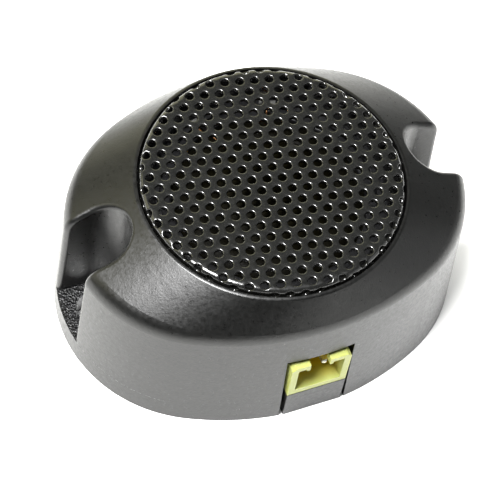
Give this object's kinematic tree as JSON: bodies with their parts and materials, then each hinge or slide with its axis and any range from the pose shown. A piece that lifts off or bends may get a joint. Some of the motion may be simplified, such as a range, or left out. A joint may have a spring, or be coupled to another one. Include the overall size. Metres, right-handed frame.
{
  "type": "car tweeter",
  "caption": "Oval surface-mount car tweeter with a perforated round grille, an end notch for a screw at each end and a side-entry connector.",
  "frame": {"origin": "middle of the flat underside, on the surface that the tweeter is fixed to", "axes": "+Z out of the grille, +X along the oval's length, -Y towards the connector"},
  "size_m": [0.051, 0.0392, 0.0225],
  "materials": {
    "housing_plastic": "satin, fine moulded grain",
    "base_plastic": "coarse spark-eroded texture",
    "screw_steel": "black oxide",
    "grille_paint": "gloss black powder coat",
    "foam": "closed-cell foam",
    "frame_plastic": "satin",
    "surround_film": "dark smoked film",
    "dome_film": "dark smoked film, faintly olive",
    "former_film": "polyimide film",
    "copper": "enamelled copper",
    "zinc_steel": "zinc plated",
    "nickel_magnet": "nickel plated neodymium",
    "felt": "pressed felt",
    "tinned_brass": "tin plated",
    "board_laminate": "green solder mask",
    "capacitor_sleeve": "shrink sleeve",
    "connector_nylon": "pale lime-yellow nylon",
    "red_insulation": "soft insulation",
    "black_insulation": "soft insulation"
  },
  "bodies": {
    "body": {"housing": "housing_plastic", "base_plate": "base_plastic", "base_screws": "screw_steel", "board_screws": "screw_steel", "grille": "grille_paint", "driver_gasket": "foam", "rear_foam_pad": "foam", "driver_frame": "frame_plastic", "surround_clamp_ring": "frame_plastic", "surround": "surround_film", "lead_out_wires": "copper", "top_plate": "zinc_steel", "yoke_cup": "zinc_steel", "magnet": "nickel_magnet", "damping_pad": "felt", "terminal_positive": "tinned_brass", "terminal_negative": "tinned_brass", "connector_pin_positive": "tinned_brass", "connector_pin_negative": "tinned_brass", "circuit_board": "board_laminate", "capacitor": "capacitor_sleeve", "connector_shroud": "connector_nylon", "hookup_wire_red": "red_insulation", "hookup_wire_black": "black_insulation"},
    "diaphragm": {"dome": "dome_film", "voice_coil_former": "former_film", "voice_coil": "copper"}
  },
  "joints": [
    {"name": "dome_excursion", "type": "slide", "parent": "body", "child": "diaphragm", "axis": [0, 0, 1], "range_m": [-0.0004, 0.0004], "stiffness_N_per_m": 100, "deforming": ["surround", "lead_out_wires"]}
  ]
}
